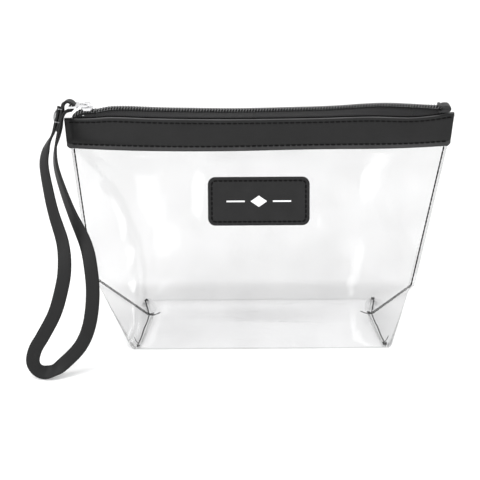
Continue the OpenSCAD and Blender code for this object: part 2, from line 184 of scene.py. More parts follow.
class Build:
    """Gathers several skins into one mesh."""

    def __init__(self):
        self.points, self.faces = [], []

    def skin(self, rings, capped=True, closed=True):
        start, n = len(self.points), len(rings[0])
        for ring in rings:
            self.points.extend(tuple(p) for p in ring)
        for j in range(len(rings) - 1):
            for i in range(n if closed else n - 1):
                a, b = start + j * n + i, start + j * n + (i + 1) % n
                self.faces.append((a, b, b + n, a + n))
        if capped:
            last = start + (len(rings) - 1) * n
            self.faces.append(tuple(range(start + n - 1, start - 1, -1)))
            self.faces.append(tuple(range(last, last + n)))

    def tube(self, path, radius, sides=6, ups=None):
        """A round rod along the path. radius may be a number or one for each point."""
        rings = []
        for i, p in enumerate(path):
            along = (Vector(path[min(i + 1, len(path) - 1)]) - Vector(path[max(i - 1, 0)])).normalized()
            up = Vector(ups[i]) if ups else Vector((0, 0, 1)) if abs(along.z) < 0.9 else Vector((0, 1, 0))
            across = along.cross(up).normalized()
            up = across.cross(along)
            r = radius[i] if isinstance(radius, (list, tuple)) else radius
            rings.append(
                [
                    Vector(p)
                    + r * (math.cos(math.tau * k / sides) * across + math.sin(math.tau * k / sides) * up)
                    for k in range(sides)
                ]
            )
        self.skin(rings)

    def make(self, name, finish, smooth=True):
        return mesh(name, self.points, self.faces, finish, smooth)


def smooth_path(points, fill):
    """A Catmull-Rom curve through the points, with fill steps between one and the next."""
    points, out = [Vector(p) for p in points], []
    last = len(points) - 1
    for i in range(last):
        a, b, c, d = points[max(i - 1, 0)], points[i], points[i + 1], points[min(i + 2, last)]
        for k in range(fill):
            t = k / fill
            bend, twist = 2 * a - 5 * b + 4 * c - d, 3 * b - a - 3 * c + d
            out.append(0.5 * (2 * b + (c - a) * t + bend * t * t + twist * t**3))
    out.append(points[-1])
    return out


def bevel(piece, width, segments=2, angle=40):
    made = piece.modifiers.new("bevel", "BEVEL")
    made.width, made.segments = width * MM, segments
    made.limit_method, made.angle_limit = "ANGLE", math.radians(angle)
    made.harden_normals = True
    return piece


# ---- Materials -----------------------------------------------------------------------------------


class Finish:
    def __init__(self, name):
        self.material = bpy.data.materials.new(name)
        self.material.use_nodes = True
        self.tree = self.material.node_tree
        self.tree.nodes.clear()

    def add(self, kind, sockets=None, **settings):
        made = self.tree.nodes.new("ShaderNode" + kind)
        for key, value in settings.items():
            setattr(made, key, value)
        for key, value in (sockets or {}).items():
            if isinstance(value, bpy.types.NodeSocket):
                self.tree.links.new(value, made.inputs[key])
            else:
                made.inputs[key].default_value = value
        return made

    def place(self, scale=(1, 1, 1)):
        where = self.add("TexCoord").outputs["Object"]
        return self.add("Mapping", {"Vector": where, "Scale": scale}).outputs["Vector"]

    def noise(self, scale, detail=2.0, stretch=(1, 1, 1)):
        sockets = {"Vector": self.place(stretch), "Scale": scale, "Detail": detail}
        return self.add("TexNoise", sockets).outputs["Fac"]

    def wave(self, scale, direction, distortion=0.0, mirror=1):
        sockets = {"Vector": self.place((mirror, 1, 1)), "Scale": scale, "Distortion": distortion}
        return self.add("TexWave", sockets, bands_direction=direction).outputs["Fac"]

    def ramp(self, fac, low, high):
        made = self.add("ValToRGB", {"Fac": fac})
        for element, (at, shade) in zip(made.color_ramp.elements, (low, high)):
            element.position = at
            element.color = (*shade, 1) if isinstance(shade, tuple) else (shade, shade, shade, 1)
        return made.outputs["Color"]

    def span(self, fac, low, high):
        sockets = {"Value": fac, "From Min": 0.25, "From Max": 0.75, "To Min": low, "To Max": high}
        return self.add("MapRange", sockets).outputs["Result"]

    def bump(self, height, distance, strength=1.0, after=None):
        sockets = {"Height": height, "Distance": distance, "Strength": strength}
        if after is not None:
            sockets["Normal"] = after
        return self.add("Bump", sockets).outputs["Normal"]

    def shader(self, out):
        self.add("OutputMaterial", {"Surface": out})
        return self.material

    def principled(self, sockets):
        return self.shader(self.add("BsdfPrincipled", sockets).outputs["BSDF"])


def leather(name, shade, rough, grain=0.00009):
    f = Finish(name)
    cells = f.add("TexVoronoi", {"Vector": f.place(), "Scale": 1300.0}, feature="SMOOTH_F1")
    pebbles = cells.outputs["Distance"]
    fine = f.noise(2600.0, 3.0)
    worn = f.noise(70.0, 4.0)
    colour = f.ramp(worn, (0.3, tuple(c * 0.8 for c in shade)), (0.75, tuple(c * 1.3 for c in shade)))
    soft = f.bump(f.noise(150.0, 2.0), 0.0003, 0.35)
    normal = f.bump(fine, grain * 0.4, 0.5, f.bump(pebbles, grain, 0.6, soft))
    gloss = f.span(worn, rough - 0.05, rough + 0.07)
    sockets = {"Base Color": colour, "Roughness": gloss, "Specular IOR Level": 0.25, "Normal": normal}
    return f.principled(sockets)


def film(name, low, high, ripple):
    f = Finish(name)
    wave = f.noise(28.0, 2.5, (1, 1, 0.6))
    fine = f.noise(260.0, 3.0)
    normal = f.bump(fine, 0.00001, 0.5, f.bump(wave, ripple, 0.5))
    haze = f.ramp(f.noise(30.0, 3.0), (0.35, (low, low, low * 1.002)), (0.7, (high, high, high * 1.002)))
    clear = f.add("BsdfTransparent", {"Color": haze}).outputs["BSDF"]
    shine = {"Color": (1, 1, 1, 1), "Roughness": 0.14, "Normal": normal}
    gloss = f.add("BsdfGlossy", shine).outputs["BSDF"]
    slant = f.add("LayerWeight", {"Blend": 0.5, "Normal": normal}).outputs["Facing"]
    steep = f.add("Math", {0: slant, 1: 4.5}, operation="POWER").outputs["Value"]
    share = f.add("MapRange", {"Value": steep, "To Min": 0.06, "To Max": 0.7}).outputs["Result"]
    both = f.add("MixShader", {"Fac": share, 1: clear, 2: gloss}).outputs["Shader"]
    return f.shader(both)


def weave():
    f = Finish("zip_tape")
    up, down = (f.wave(420.0, "DIAGONAL", 0.4, mirror) for mirror in (1, -1))
    row = f.wave(95.0, "Y")
    which = f.add("Math", {0: row, 1: 0.5}, operation="GREATER_THAN").outputs["Value"]
    twill = f.add("Mix", {"Factor": which, "A": up, "B": down}, data_type="FLOAT").outputs["Result"]
    colour = f.ramp(twill, (0.2, (0.003, 0.003, 0.0033)), (0.9, (0.03, 0.03, 0.031)))
    rough = f.span(f.noise(300.0), 0.75, 0.9)
    sockets = {"Base Color": colour, "Roughness": rough, "Specular IOR Level": 0.25}
    sockets.update({"Sheen Weight": 0.06, "Sheen Roughness": 0.4, "Normal": f.bump(twill, 0.00025, 0.9)})
    return f.principled(sockets)


def nylon():
    f = Finish("zip_coil")
    # The coil's nylon is black; this mid grey all over is a painted highlight, so each turn reads light
    # against the dark core.
    shade = f.ramp(f.noise(400.0), (0.3, (0.12, 0.12, 0.121)), (0.8, (0.19, 0.19, 0.191)))
    rough, normal = f.span(f.noise(900.0, 3.0), 0.18, 0.28), f.bump(f.noise(2500.0), 0.00003, 0.4)
    return f.principled({"Base Color": shade, "Roughness": rough, "Normal": normal})


def thread():
    f, shade = Finish("thread"), 0.0035
    ply = f.wave(1300.0, "DIAGONAL", 0.6)
    colour = f.ramp(ply, (0.2, (shade * 0.5,) * 3), (0.8, (shade * 1.5,) * 3))
    rough, normal = f.span(f.noise(800.0), 0.7, 0.85), f.bump(ply, 0.00012, 0.7)
    sockets = {"Base Color": colour, "Roughness": rough, "Specular IOR Level": 0.12, "Normal": normal}
    return f.principled(sockets)


def metal(name, shade, rough):
    f = Finish(name)
    rub = f.noise(500.0, 4.0, (1, 6, 1))
    normal = f.bump(rub, 0.00001, 0.4, f.bump(f.noise(120.0), 0.0001, 0.2))
    colour = f.ramp(rub, (0.3, tuple(c * 0.92 for c in shade)), (0.7, shade))
    gloss = f.span(rub, rough, rough + 0.12)
    return f.principled({"Base Color": colour, "Metallic": 1.0, "Roughness": gloss, "Normal": normal})


def foil():
    f = Finish("foil")
    fleck = f.noise(1500.0, 3.0)
    shade = f.ramp(fleck, (0.3, (0.78, 0.78, 0.79)), (0.6, (0.93, 0.93, 0.94)))
    rough, normal = f.span(fleck, 0.3, 0.45), f.bump(fleck, 0.00003, 0.5)
    return f.principled({"Base Color": shade, "Metallic": 0.55, "Roughness": rough, "Normal": normal})


def paper():
    f = Finish("floor")
    shade = f.ramp(f.noise(9.0), (0.3, (0.93, 0.93, 0.93)), (0.7, (0.95, 0.95, 0.95)))
    return f.principled({"Base Color": shade, "Roughness": 0.9, "Specular IOR Level": 0.1})


# The seam fins let through less light than the walls: painted shade, standing in for the shadow the walls
# cast on the floor seen behind them.
FILM_SEAM_PAINTED_SHADE = film("clear_film_seam_painted_shade", 0.76, 0.8, 0.0004)
FILM = film("clear_film", 0.835, 0.885, 0.0009)
# The base sheet lets through more light than the walls: painted light, lifting the shadow the film casts on
# the floor under the bag.
FILM_BASE_PAINTED_LIGHT = film("clear_film_base_painted_light", 0.965, 0.99, 0.0016)
BAND = leather("faux_leather", (0.0065, 0.0065, 0.0067), 0.36)
# A lighter copy of the band's leather for the roll at its hem: a painted highlight.
HEM_PAINTED_HIGHLIGHT = leather("hem_painted_highlight_leather", (0.03, 0.03, 0.0305), 0.4)
# A lighter copy of the band's leather for the lip's top: a painted highlight along the fold.
LIP_PAINTED_HIGHLIGHT = leather("lip_painted_highlight_leather", (0.06, 0.06, 0.061), 0.34)
PATCH = leather("patch_leather", (0.008, 0.008, 0.0083), 0.42)
STRAP = leather("strap_leather", (0.005, 0.005, 0.0052), 0.5)
EDGE = leather("tab_leather", (0.02, 0.02, 0.0205), 0.5)
TAPE, COIL_PAINTED_HIGHLIGHT, THREAD = weave(), nylon(), thread()
NICKEL, SPRING = metal("nickel", (0.68, 0.68, 0.69), 0.12), metal("spring_steel", (0.4, 0.4, 0.41), 0.3)
FOIL = foil()
CLIP_STEEL = metal("clip_steel", (0.2, 0.2, 0.205), 0.22)

# ---- Film body -----------------------------------------------------------------------------------

SIDE_STEPS, WALL_STEPS = 6, 34
INSET = FILM_T / 2
ROLL = 2.2  # radius of the base's front and back edges


def quarter(z, s):
    """One level from the side seam's edge to the middle, at mid-thickness, as distances from the centre."""
    cx, cy = crease(z, s)
    deep, sx, sz = half_depth(z) - INSET, seam_x(z, s), seam_z(z, s)
    cy = max(0.3, cy - INSET)
    cx -= 0.25 * (1 - fold(z, s))
    out = []
    for i in range(SIDE_STEPS):
        t = i / SIDE_STEPS
        out.append([mix(sx - 0.05, cx, t), mix(0.12, cy, t), mix(sz, z, t)])
    for i in range(WALL_STEPS + 1):
        share = 1 - (i / WALL_STEPS) ** 1.35
        out.append([cx * share, cy + (deep - cy) * (1 - share ** turn(z)), z])
    if z < ROLL:
        drawn = ROLL - math.sqrt(ROLL**2 - (ROLL - z) ** 2)
        for p in out:
            p[1] -= drawn * clamp(p[1] / 30)
            p[0] -= drawn * clamp(p[1] / 30) * clamp(p[0] / 60)
    return out


def level(z):
    right, left = quarter(z, 1), quarter(z, -1)
    n = len(right) - 1
    return (
        [(p[0], -p[1], p[2]) for p in right[:n]]
        + [(-p[0], -p[1], p[2]) for p in left[n:0:-1]]
        + [(-p[0], p[1], p[2]) for p in left[:n]]
        + [(p[0], p[1], p[2]) for p in right[n:0:-1]]
    )


def near_label(x, z):
    """0 behind the patch, 1 away from it."""
    dx = max(0, abs(x - LABEL_X) - LABEL_W / 2 - 1)
    dz = max(0, abs(z - LABEL_Z) - LABEL_H / 2 - 1)
    return ease(0, 9, math.hypot(dx, dz))


def ridge(v, sharp):
    return 1 - min(1, abs(noise.noise(v)) * sharp)


def crumple(x, y, z):
    """How far the sheet stands out from its plain shape, in mm."""
    s, front = side_of(x), y < 0
    kx, kz = KINK[s]
    seed = 0 if front else 31
    wall = ease(3, 14, crease(z, s)[0] - abs(x)) if z > 1 else 0
    hold = wall * (1 - ease(100, 115, z)) * ease(1, 14, z)
    if front:
        hold *= near_label(x, z)
    soft = 1.3 * noise.noise(Vector((x / 52, z / 44, 2.3 + seed)))
    mid = 0.5 * noise.noise(Vector((x / 21, z / 30, 7.7 + seed)))
    folds = 0.35 * ridge(Vector((x / 37 + z / 90, z / 60 - x / 160, 4.4 + seed)), 7)
    folds += 0.2 * ridge(Vector((x / 24 - z / 30, z / 44 + x / 90, 9.1 + seed)), 8)
    reach, angle = math.hypot(abs(x) - (kx - 8), z - kz), math.atan2(abs(x) - (kx - 8), z - kz)
    fan = angle * 11 + 3 * noise.noise(Vector((x / 30, z / 30, seed)))
    rays = 0.3 * math.exp(-reach / 30) * ease(4, 16, reach) * math.sin(fan)
    slope = math.sin((x * 0.35 + z * 0.5) * s)
    top = 0.5 * math.exp(-(((abs(x) - 97) / 12) ** 2) - ((z - 104) / 9) ** 2) * slope
    ripple = math.sin(x / 6.5 + 4 * noise.noise(Vector((x / 40, 1.7, seed))))
    low = 0.35 * math.exp(-z / 13) * ripple * ease(0, 5, z) * wall
    return hold * (soft + mid + folds + rays - 0.5) + top * wall * (1 - ease(108, 117, z)) + low


def base_lift(x, y):
    """Long low creases where the base lies on the table."""
    run = Vector((x / 85, y / 9 + x / 120, 5.5))
    lift = 1.4 * ridge(run, 3.2) + 1.0 * ridge(Vector((x / 60 + 3, y / 14 - x / 200, 8.2)), 4)
    return lift * ease(0, 10, 38 - abs(y)) * ease(0, 14, 72 - abs(x))


def corner_path(s, t, out=0.3, up=0.1):
    x = mix(TEE_X, BASE_W / 2 - CORNER_IN, abs(t)) + out
    return Vector((s * x, t * BASE_D / 2, mix(TEE_Z, 0, abs(t)) + up))


def film_body():
    heights = [FILM_TOP - (FILM_TOP - 5) * i / 46 for i in range(46)] + [5, 3.6, 2.2, 1.4, 0.8, 0.35, 0.08, 0]
    rings = [level(z) for z in heights]
    floor = rings[-1]
    for share in (0.97, 0.94, 0.91, 0.87, 0.82, 0.75, 0.67, 0.58, 0.48, 0.38, 0.27, 0.15, 0.05):
        drop = clamp((share - 0.82) / 0.18) ** 2
        rings.append([(x * share, y * share, 0.25 + max(0, z - 0.25) * drop) for x, y, z in floor])
    body = Build()
    body.skin(rings, capped=False)
    n = len(floor)
    last = len(body.points) - n
    body.faces.append(tuple(range(last, last + n)))
    piece = body.make("film_body", FILM)
    ways = [v.normal.copy() for v in piece.data.vertices]
    walls = len(heights) * n
    piece.data.materials.append(FILM_BASE_PAINTED_LIGHT)
    piece.data.materials.append(FILM_SEAM_PAINTED_SHADE)
    # Faces past the walls, the base, take the clearer film as painted light.
    for face in piece.data.polygons:
        centre = face.center / MM
        # Faces past the crease above 34 mm, the seam fins, take the darker film as painted shade.
        in_seam = abs(centre.x) > crease(centre.z, side_of(centre.x))[0] + 0.4 and centre.z > 34
        face.material_index = 1 if face.index >= walls else 2 if in_seam else 0
    for i, v in enumerate(piece.data.vertices):
        x, y, z = (c / MM for c in v.co)
        if i < walls:
            outward = 1 if ways[i].dot(Vector((x, y * 3, 0))) > 0 else -1
            v.co += ways[i] * crumple(x, y, z) * MM * outward
            v.co.z += mouth_lift(x, z) * ease(60, BAND_LOW, z) * MM
        else:
            v.co.z += base_lift(x, y) * MM
        v.co.z = max(v.co.z, 0.25 * MM)
    return piece


bag_film = film_body()
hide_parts("film_body")
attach(bag_film, "bag")


def corner_allowance(s):
    """The trimmed edges of the boxed corner, which stand up inside the bag along its seam."""
    rings = []
    for i in range(33):
        t = mix(-0.9, 0.9, i / 32)
        foot = corner_path(s, t, -0.4, 0.35)
        tall = 5.0 * (1 - abs(t) ** 3) * (1 + 0.06 * math.sin(i * 0.9 + s))
        sway = 0.5 * math.sin(i * 0.5 + s * 2)
        rings.append(
            [
                foot + Vector((-s * (0.4 + 0.7 * k * tall) + sway * k * 0.5, sway * k, 0.75 * k * tall))
                for k in (0, 0.35, 0.7, 1)
            ]
        )
    body = Build()
    body.skin(rings, capped=False, closed=False)
    piece = body.make("corner_allowance_" + ("left" if s < 0 else "right"), FILM)
    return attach(piece, "bag")


for s in (-1, 1):
    corner_allowance(s)

# ---- Stitches ------------------------------------------------------------------------------------


def along(path):
    """Lengths along a path, from its start."""
    sums = [0.0]
    for a, b in zip(path, path[1:]):
        sums.append(sums[-1] + (Vector(b) - Vector(a)).length)
    return sums


def at_length(path, sums, d):
    d = clamp(d, 0, sums[-1])
    i = next((k for k in range(1, len(sums)) if sums[k] >= d), len(sums) - 1)
    span = sums[i] - sums[i - 1] or 1
    return Vector(path[i - 1]).lerp(Vector(path[i]), (d - sums[i - 1]) / span), i - 1


def stitch_row(build, path, outs, pitch, gap, r, proud):
    """Separate stitches along a path. outs gives the way out of the surface at each point of it."""
    sums = along(path)
    count = max(1, round(sums[-1] / pitch))
    pitch = sums[-1] / count
    for k in range(count):
        wander = 0.12 * noise.noise(Vector((k * 1.7, sums[-1], r)))
        spots, ups = [], []
        for f, dip in ((0, -0.75), (0.12, 0.0), (0.5, 1.0), (0.88, 0.0), (1, -0.75)):
            p, i = at_length(path, sums, k * pitch + gap / 2 + f * (pitch - gap))
            out = Vector(outs[i]).normalized()
            spots.append(p + out * (proud * dip + wander * 0.3))
            ups.append(out)
        build.tube(spots, [r * 0.75, r, r * 1.05, r, r * 0.75], 6, ups)


def finish_stitches(build, name, node):
    piece = build.make(name, THREAD)
    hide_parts(node)
    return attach(piece, "bag")


def band_point(u, past, off, wall_z, z, front=-1):
    x = u * (seam_x(wall_z, side_of(u)) + past)
    return Vector((x, front * (wall_y(x, wall_z) + off), z))


def band_swell(x, z, front):
    """The band isn't quite flat: it waves a little between the stitch rows."""
    between = ease(BAND_LOW, 123, z) * (1 - ease(133, 137, z))
    return 0.22 * noise.noise(Vector((x / 34, z / 16, 11.5 * front))) * between


def out_of_wall(x, z, front):
    step = 0.5
    slope = (wall_y(x + step, z) - wall_y(x - step, z)) / (2 * step)
    return Vector((slope * -1, front, 0)).normalized()


for front, side in ((-1, "front"), (1, "back")):
    for below, row in ((2.6, "top"), (WALL_H - BAND_LOW - 3.2, "hem")):
        z = WALL_H - below
        us = [i / 160 for i in range(-160, 161)]
        path = [band_point(u, -1.6, 1.02, z, z, front) for u in us]
        path = [p + Vector((0, 0, mouth_lift(p.x, z))) for p in path]
        outs = [out_of_wall(p.x, z, front) for p in path]
        rows = Build()
        stitch_row(rows, path, outs, 3.4, 0.85, 0.42, 0.1)
        finish_stitches(rows, f"{side}_{row}_stitches", f"{side}_{row}_thread")


def seam_line(s):
    path = []
    for i in range(61):
        z = mix(BAND_LOW, 0.5, (i / 60) ** 0.9)
        t = fold(z, s)
        path.append(Vector((s * (seam_x(z, s) - SEAM_IN * t + 0.4 * (1 - t)), 0, seam_z(z, s))))
    return path


def tangle(build, centre, seed, size):
    """A knotted thread end."""
    for k in range(4):
        spots = []
        for i in range(7):
            v = Vector([noise.noise(Vector((seed + k * 3.1, i * 0.45, depth))) for depth in (1.3, 5.7, 9.2)])
            spots.append(Vector(centre) + Vector((v.x, v.y, abs(v.z))) * size)
        build.tube(smooth_path(spots, 3), 0.3, 5)


for s, side in ((-1, "left"), (1, "right")):
    rows, line = Build(), seam_line(s)
    bend = next(i for i, p in enumerate(line) if p.z <= KINK[s][1] + 0.5)
    for face in (-1, 1):
        upper = [p + Vector((0, face * 0.55, 0)) for p in line[: bend + 1]]
        stitch_row(rows, upper, [(0, face, 0)] * len(upper), 3.0, 0.2, 0.3, 0.14)
    under = Vector((s * 0.6, 0, -0.8))
    lower = [p + under * 0.2 for p in line[bend:]]
    stitch_row(rows, lower, [under] * len(lower), 2.8, 0.15, 0.32, 0.12)
    upside = [p - under * 0.5 for p in line[bend:]]
    stitch_row(rows, upside, [-under] * len(upside), 2.8, 0.15, 0.3, 0.12)
    steps = ((0, 0, 0.2), (3.5, -0.6, 0.9), (6.5, 0.8, 1.6))
    tail = [(s * (TEE_X - back), y, TEE_Z + rise) for back, y, rise in steps]
    rows.tube(smooth_path(tail, 4), 0.3, 5)
    tangle(rows, (s * (TEE_X - 1.5), 0, TEE_Z + 0.3), 3 + s, 2.6)
    finish_stitches(rows, f"side_stitches_{side}", f"side_thread_{side}")

    rows = Build()
    ends = [corner_path(s, t / 20, 0.35, 0.25) for t in range(-18, 19)]
    ends = [p + Vector((0, 0, 0.35 * math.sin(i * 0.8))) for i, p in enumerate(ends)]
    stitch_row(rows, ends, [(s, 0, 0.3)] * len(ends), 2.6, 0.2, 0.36, 0.15)
    tangle(rows, corner_path(s, -0.88, 0.2, 0.6), 11 + s, 2.2)
    tangle(rows, corner_path(s, 0.86, -0.4, 0.6), 17 + s, 1.8)
    loose = corner_path(s, -0.84, 0.1, 0.8)
    ways = (Vector((0, 0, 0)), Vector((s * 1.5, -0.6, 2.4)), Vector((s * 2.6, 0.4, 4.4)))
    rows.tube(smooth_path([loose + way for way in ways], 3), 0.2, 5)
    finish_stitches(rows, f"corner_stitches_{side}", f"corner_thread_{side}")

# ---- Trim band -----------------------------------------------------------------------------------


def band_section(u, front):
    """Outline of the band at one place: up its face, over the lip, and down inside."""
    inner = mix(123.8, 136.4, ease(0.84, 0.9, abs(u)))
    rise = 1.6 * ease(0.985, 1, abs(u)) ** 2
    face = [
        (0.05, BAND_LOW + 0.25), (0.3, BAND_LOW), (0.75, BAND_LOW), (1.3, BAND_LOW + 0.3),
        (1.42, BAND_LOW + 0.9), (1.15, BAND_LOW + 2.2), (0.72, BAND_LOW + 3.2), (1.1, BAND_LOW + 4.2),
        (1.06, 125), (1.04, 128), (1.04, 131), (1.06, 133.6), (1.1, 134.4), (0.8, 135.4),
        (1.2, 136.3), (1.14, 137.0), (0.85, 137.65), (0.4, 138.0),
    ]
    lip = [(-0.15, 138.0), (-0.7, 137.75), (-1.1, 137.2)]
    inside = [(-1.18, mix(inner, 136.8, 0.93)), (-1.16, mix(inner, 136.8, 0.4))]
    inside += [(-1.15, inner + 0.3), (-0.95, inner), (-0.65, inner + 0.2)]
    back = [(-0.56, mix(inner, 136.6, 0.5)), (-0.54, 136.6), (0.02, 136.7), (0.05, 128)]
    ring = []
    for off, z in face + lip + inside + back:
        z = z + rise * clamp((126 - z) / 7)
        p = band_point(u, 0.4, off, min(z, WALL_H), z, front)
        if off > 0.9:
            p.y += front * band_swell(p.x, z, front)
        p.y = front * max(0.06, front * p.y)
        p.x += end_shift(p.x, z)
        p.z += mouth_lift(p.x, z)
        ring.append(p)
    return ring


for front, side in ((-1, "front"), (1, "back")):
    body = Build()
    crowd = math.pi / 2 * 0.62  # sections stand closer together towards the ends
    sections = [band_section(math.sin(i / 120 * crowd) / math.sin(crowd), front) for i in range(-120, 121)]
    body.skin(sections)
    piece = body.make(f"{side}_band_cover", BAND)
    # Rows 16 to 18 of each section, the top of the lip, take the lighter leather as a painted highlight.
    # Rows 3 to 5 of each section, the roll at the hem, take the lighter leather as a painted highlight.
    for index, finish, rows in ((1, HEM_PAINTED_HIGHLIGHT, range(3, 6)), (2, LIP_PAINTED_HIGHLIGHT, range(16, 19))):
        piece.data.materials.append(finish)
        for face in piece.data.polygons:
            if face.index < (len(sections) - 1) * len(sections[0]) and face.index % len(sections[0]) in rows:
                face.material_index = index
    bevel(piece, 0.12, 2, 60)
    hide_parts(f"{side}_band", f"{side}_facing")
    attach(piece, "bag")

# ---- Label ---------------------------------------------------------------------------------------

ON_FRONT = Matrix.Translation((LABEL_X, -half_depth(LABEL_Z), LABEL_Z))
ON_FRONT = ON_FRONT @ Matrix.Rotation(math.pi / 2 - LEAN, 4, "X")


def rounded(w, h, r, per=9):
    out = []
    for cx, cy, start in ((1, 1, 0), (-1, 1, 90), (-1, -1, 180), (1, -1, 270)):
        for k in range(per + 1):
            a = math.radians(start + 90 * k / per)
            out.append((cx * (w / 2 - r) + r * math.cos(a), cy * (h / 2 - r) + r * math.sin(a)))
    return out


def label():
    profile = [
        (0.3, 0.05), (0.05, 0.25), (0.0, 0.6), (0.08, 1.0), (0.3, 1.22), (0.7, 1.3),
        (1.5, 1.3), (2.05, 1.2), (2.35, 1.12), (2.65, 1.2), (3.3, 1.26), (4.4, 1.25),
    ]
    rings = []
    for inset, h in profile:
        outline = rounded(LABEL_W - 2 * inset, LABEL_H - 2 * inset, max(0.3, LABEL_R - inset))
        rings.append([ON_FRONT @ Vector((x, y, h)) for x, y in outline])
    body = Build()
    body.skin(rings)
    piece = body.make("label_patch_cover", PATCH)
    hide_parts("label_patch")
    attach(piece, "bag")
    inset, out = 2.35, ON_FRONT.to_3x3() @ Vector((0, 0, 1))
    loop = rounded(LABEL_W - 2 * inset, LABEL_H - 2 * inset, LABEL_R - inset, 5)
    path = [ON_FRONT @ Vector((x, y, 1.17)) for x, y in loop + loop[:1]]
    rows = Build()
    stitch_row(rows, path, [out] * len(path), 3.0, 0.7, 0.48, 0.12)
    finish_stitches(rows, "label_stitches", "label_thread")


label()

# ---- Zip -----------------------------------------------------------------------------------------


def lay(piece, node, body):
    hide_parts(node)
    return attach(piece, body)


def tape_strip(build, left, right, front, gather=0.0):
    """A woven tape from the lip to the chain. gather is 1 where it dives into the lip at the closed end."""
    count = max(6, round((right - left) / 1.6))
    rings = []
    for i in range(count + 1):
        x = mix(left, right, i / count)
        root = wall_y(x, WALL_H) - 0.6
        parted = max(0, -106.5 - x) * gather
        sink = 0.062 * parted**2
        tip = max(0.3, min(0.6 + parted * 0.5, root - 0.5))
        wave = 0.12 * noise.noise(Vector((x / 15, 2.0, front)))
        ring = []
        for thick, arched, steps in ((0.42, 1.0, range(7)), (0.0, 0.7, range(6, -1, -1))):
            for t in (k / 6 for k in steps):
                y, z = mix(root, tip, t), mix(138.42, 139.6 - sink, t)
                arch = 0.25 * math.sin(math.pi * t) + wave * math.sin(math.pi * t)
                lift = mix(mouth_lift(x, WALL_H), chain_lift(x), t)
                ring.append((x, front * y, z + thick + arch * arched + lift))
        rings.append(ring)
    build.skin(rings)


HEAD, HEEL = 0.3, -2.38  # how far the coil's loops reach past the middle, and where they turn back


def coil_run(build, left, right, front, head=HEAD, lower=None):
    """One half of the chain: a flattened spiral of nylon monofilament. Both halves slant the same way."""
    count = round((right - left - (0.2 if front < 0 else PITCH)) / PITCH)
    start = left + 0.1 + PITCH / 2 + (0 if front < 0 else PITCH / 2)
    turns = (
        (-0.42, HEEL + 0.25, -0.55), (-0.22, -1.4, -0.62), (-0.06, head - 0.35, -0.6),
        (-0.02, head - 0.03, -0.3), (0.0, head, 0.05), (0.02, head - 0.05, 0.42),
        (0.08, head - 0.4, 0.66), (0.24, -1.4, 0.7), (0.4, HEEL + 0.25, 0.55), (0.5, HEEL, 0.0),
    )
    path = []
    for k in range(count):
        x = start + (count - 1 - k if front < 0 else k) * PITCH
        for dx, y, z in turns:
            path.append(Vector((x + front * dx * PITCH, y, COIL_Z + z + chain_lift(x))))
    if lower:
        path = [lower(p) for p in path]
    path = [Vector((p.x, p.y if front < 0 else -p.y, p.z)) for p in path]
    build.tube(path, 0.3, 6, [Vector((1, 0.05, 0.02))] * len(path))


def filler_run(build, left, right, front, lower=None):
    """The black cord inside the spiral."""
    path = []
    for i in range(61):
        x = mix(left, right, i / 60)
        p = Vector((x, -1.15, COIL_Z + 0.04 + chain_lift(x)))
        p = lower(p) if lower else p
        path.append(Vector((p.x, p.y if front < 0 else -p.y, p.z)))
    build.tube(path, 0.62, 10)


def dive(p):
    """The coil's closed end, which runs down over the lips past the slider."""
    past = max(0, -105.8 - p.x)
    return Vector((p.x, p.y - 0.05 * past - 0.3, p.z - 0.068 * past**2))


def lay_filler(build, name, body):
    piece = build.make(name, THREAD)
    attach(piece, body)


MIDDLE = -3.7  # where the zip's two lengths meet


def zip_half(front, side, end):
    """Half the length of one strip, from a flap's end to the middle: its tape, coil and core."""
    left, right = (FLAP[0], MIDDLE) if end == "left" else (MIDDLE, FLAP[1])
    cloth, chain, filler = Build(), Build(), Build()
    tape_strip(cloth, left, right, front)
    coil_run(chain, left - (PITCH if front > 0 and end == "right" else 0), right, front)
    filler_run(filler, left, right, front)
    tape, coil = cloth.make(f"tape_{side}_{end}", TAPE), chain.make(f"coil_{side}_{end}", COIL_PAINTED_HIGHLIGHT)
    core = filler.make(f"coil_filler_{side}_{end}", THREAD)
    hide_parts(f"zip_tape_{side}")
    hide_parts(f"zip_coil_{side}")
    for piece, slot in ((tape, "zip_tape"), (coil, "zip_coil"), (core, "thread")):
        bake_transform(piece)


for front, side in ((-1, "front"), (1, "back")):
    for end in ("left", "right"):
        zip_half(front, side, end)

CLOSED_END, OPEN_END, SLIDER_BACK = -113.4, 113.2, -101.6


def fixed_ends():
    """The lengths that are sewn in: parted and sunk at the closed end, and under the tab at the other."""
    cloth, chain, filler = Build(), Build(), Build()
    for front in (-1, 1):
        tape_strip(cloth, CLOSED_END, FLAP[0] - 0.02, front, 1.0)
        coil_run(chain, CLOSED_END + 0.2, SLIDER_BACK, front, -0.65, dive)
        coil_run(chain, SLIDER_BACK - 0.3, FLAP[0] + 0.2, front)
        filler_run(filler, CLOSED_END + 0.2, FLAP[0] + 0.4, front, dive)
    lay_filler(filler, "coil_filler_left", "bag")
    lay(cloth.make("tape_left_end", TAPE), "zip_left_tape", "bag")
    lay(chain.make("coil_left_end", COIL_PAINTED_HIGHLIGHT), "zip_left_coil", "bag")
    cloth, chain, filler = Build(), Build(), Build()
    for front in (-1, 1):
        tape_strip(cloth, FLAP[1] + 0.02, OPEN_END, front)
        filler_run(filler, FLAP[1] - 0.4, OPEN_END - 5, front)
        coil_run(chain, FLAP[1] - (0.1 if front < 0 else 0.9), OPEN_END - 5, front)
    lay_filler(filler, "coil_filler_right", "bag")
    lay(cloth.make("tape_right_end", TAPE), "zip_right_tape", "bag")
    lay(chain.make("coil_right_end", COIL_PAINTED_HIGHLIGHT), "zip_right_coil", "bag")


fixed_ends()


